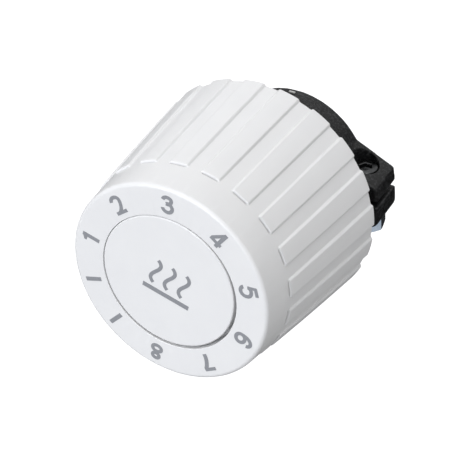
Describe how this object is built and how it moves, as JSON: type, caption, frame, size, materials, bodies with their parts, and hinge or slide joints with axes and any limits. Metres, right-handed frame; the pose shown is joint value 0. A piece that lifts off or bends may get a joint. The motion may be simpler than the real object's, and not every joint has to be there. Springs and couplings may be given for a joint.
{
  "type": "thermostatic radiator valve head",
  "caption": "Ribbed thermostatic control head with numbered dial, snap-in front cap, liquid sensor capsule and split clamp collar for a plain valve neck.",
  "frame": {"origin": "centre of the clamp bore at the collar's valve-side face", "axes": "+Z along the knob's axis, from the valve towards the dial; the clamp ears point to -X; the index mark and the clamp screw's head face -Y"},
  "size_m": [0.0502, 0.0502, 0.0517],
  "materials": {
    "white_plastic": "satin moulded white plastic",
    "black_nylon": "glass-filled black nylon, slightly grained",
    "pom": "natural acetal",
    "zinc": "bright blue zinc plate",
    "spring_steel": "oiled spring steel",
    "steel_pin": "ground stainless steel",
    "brass": "turned brass",
    "bronze": "formed tin bronze",
    "bush": "filled bearing plastic",
    "aluminium": "die cast, machined face",
    "white_print": "white pad print",
    "grey_print": "grey pad print",
    "nylon_washer": "natural nylon"
  },
  "bodies": {
    "collar": {"clamp_collar": "black_nylon", "base_sleeve": "pom", "base_screws": "zinc", "heat_contact_ring": "aluminium", "index_mark": "white_print", "clamp_nut": "zinc"},
    "cup": {"thrust_cup": "pom", "cup_clip": "spring_steel", "thrust_washer": "brass", "overload_spring": "spring_steel"},
    "knob": {"knob_shell": "white_plastic", "thread_ring": "pom", "min_stop_ring": "pom", "max_stop_ring": "pom", "thread_ring_clip": "spring_steel", "dial_numbers": "grey_print"},
    "cap": {"front_cap": "white_plastic", "cap_symbol": "grey_print"},
    "capsule": {"capsule_base": "brass", "capsule_can": "brass", "pin_guide_bush": "bush", "bellows": "bronze"},
    "pin": {"press_pin": "steel_pin", "bellows_disc": "brass", "return_spring": "spring_steel"},
    "washer": {"clamp_washer": "nylon_washer"},
    "screw": {"clamp_screw": "zinc"}
  },
  "joints": [
    {"name": "cup_advance", "type": "slide", "parent": "collar", "child": "cup", "axis": [0, 0, 1], "range_m": [-0.00117, 0.00253]},
    {"name": "knob_turn", "type": "hinge", "parent": "cup", "child": "knob", "pos_m": [0, 0, 0.03], "axis": [0, 0, 1], "range_deg": [-104, 226.5]},
    {"name": "cap_pull", "type": "slide", "parent": "knob", "child": "cap", "axis": [0, 0, 1], "range_m": [0, 0.012]},
    {"name": "sensor_overtravel", "type": "slide", "parent": "cup", "child": "capsule", "axis": [0, 0, 1], "range_m": [0, 0.003], "stiffness_N_per_m": 8000, "springref_m": -0.004, "deforming": ["overload_spring"]},
    {"name": "pin_stroke", "type": "slide", "parent": "capsule", "child": "pin", "axis": [0, 0, -1], "range_m": [-0.001, 0.002], "stiffness_N_per_m": 6000, "deforming": ["bellows", "return_spring"]},
    {"name": "screw_advance", "type": "slide", "parent": "collar", "child": "washer", "axis": [0, -1, 0], "range_m": [0, 0.0042]},
    {"name": "screw_turn", "type": "hinge", "parent": "washer", "child": "screw", "pos_m": [-0.0173, 0, 0.0034], "axis": [0, -1, 0], "range_deg": [0, 2160]}
  ],
  "couplings": [
    {"joint": "cup_advance", "follows": "knob_turn", "m_per_rad": 0.00063662},
    {"joint": "screw_turn", "follows": "screw_advance", "rad_per_m": 8976}
  ]
}
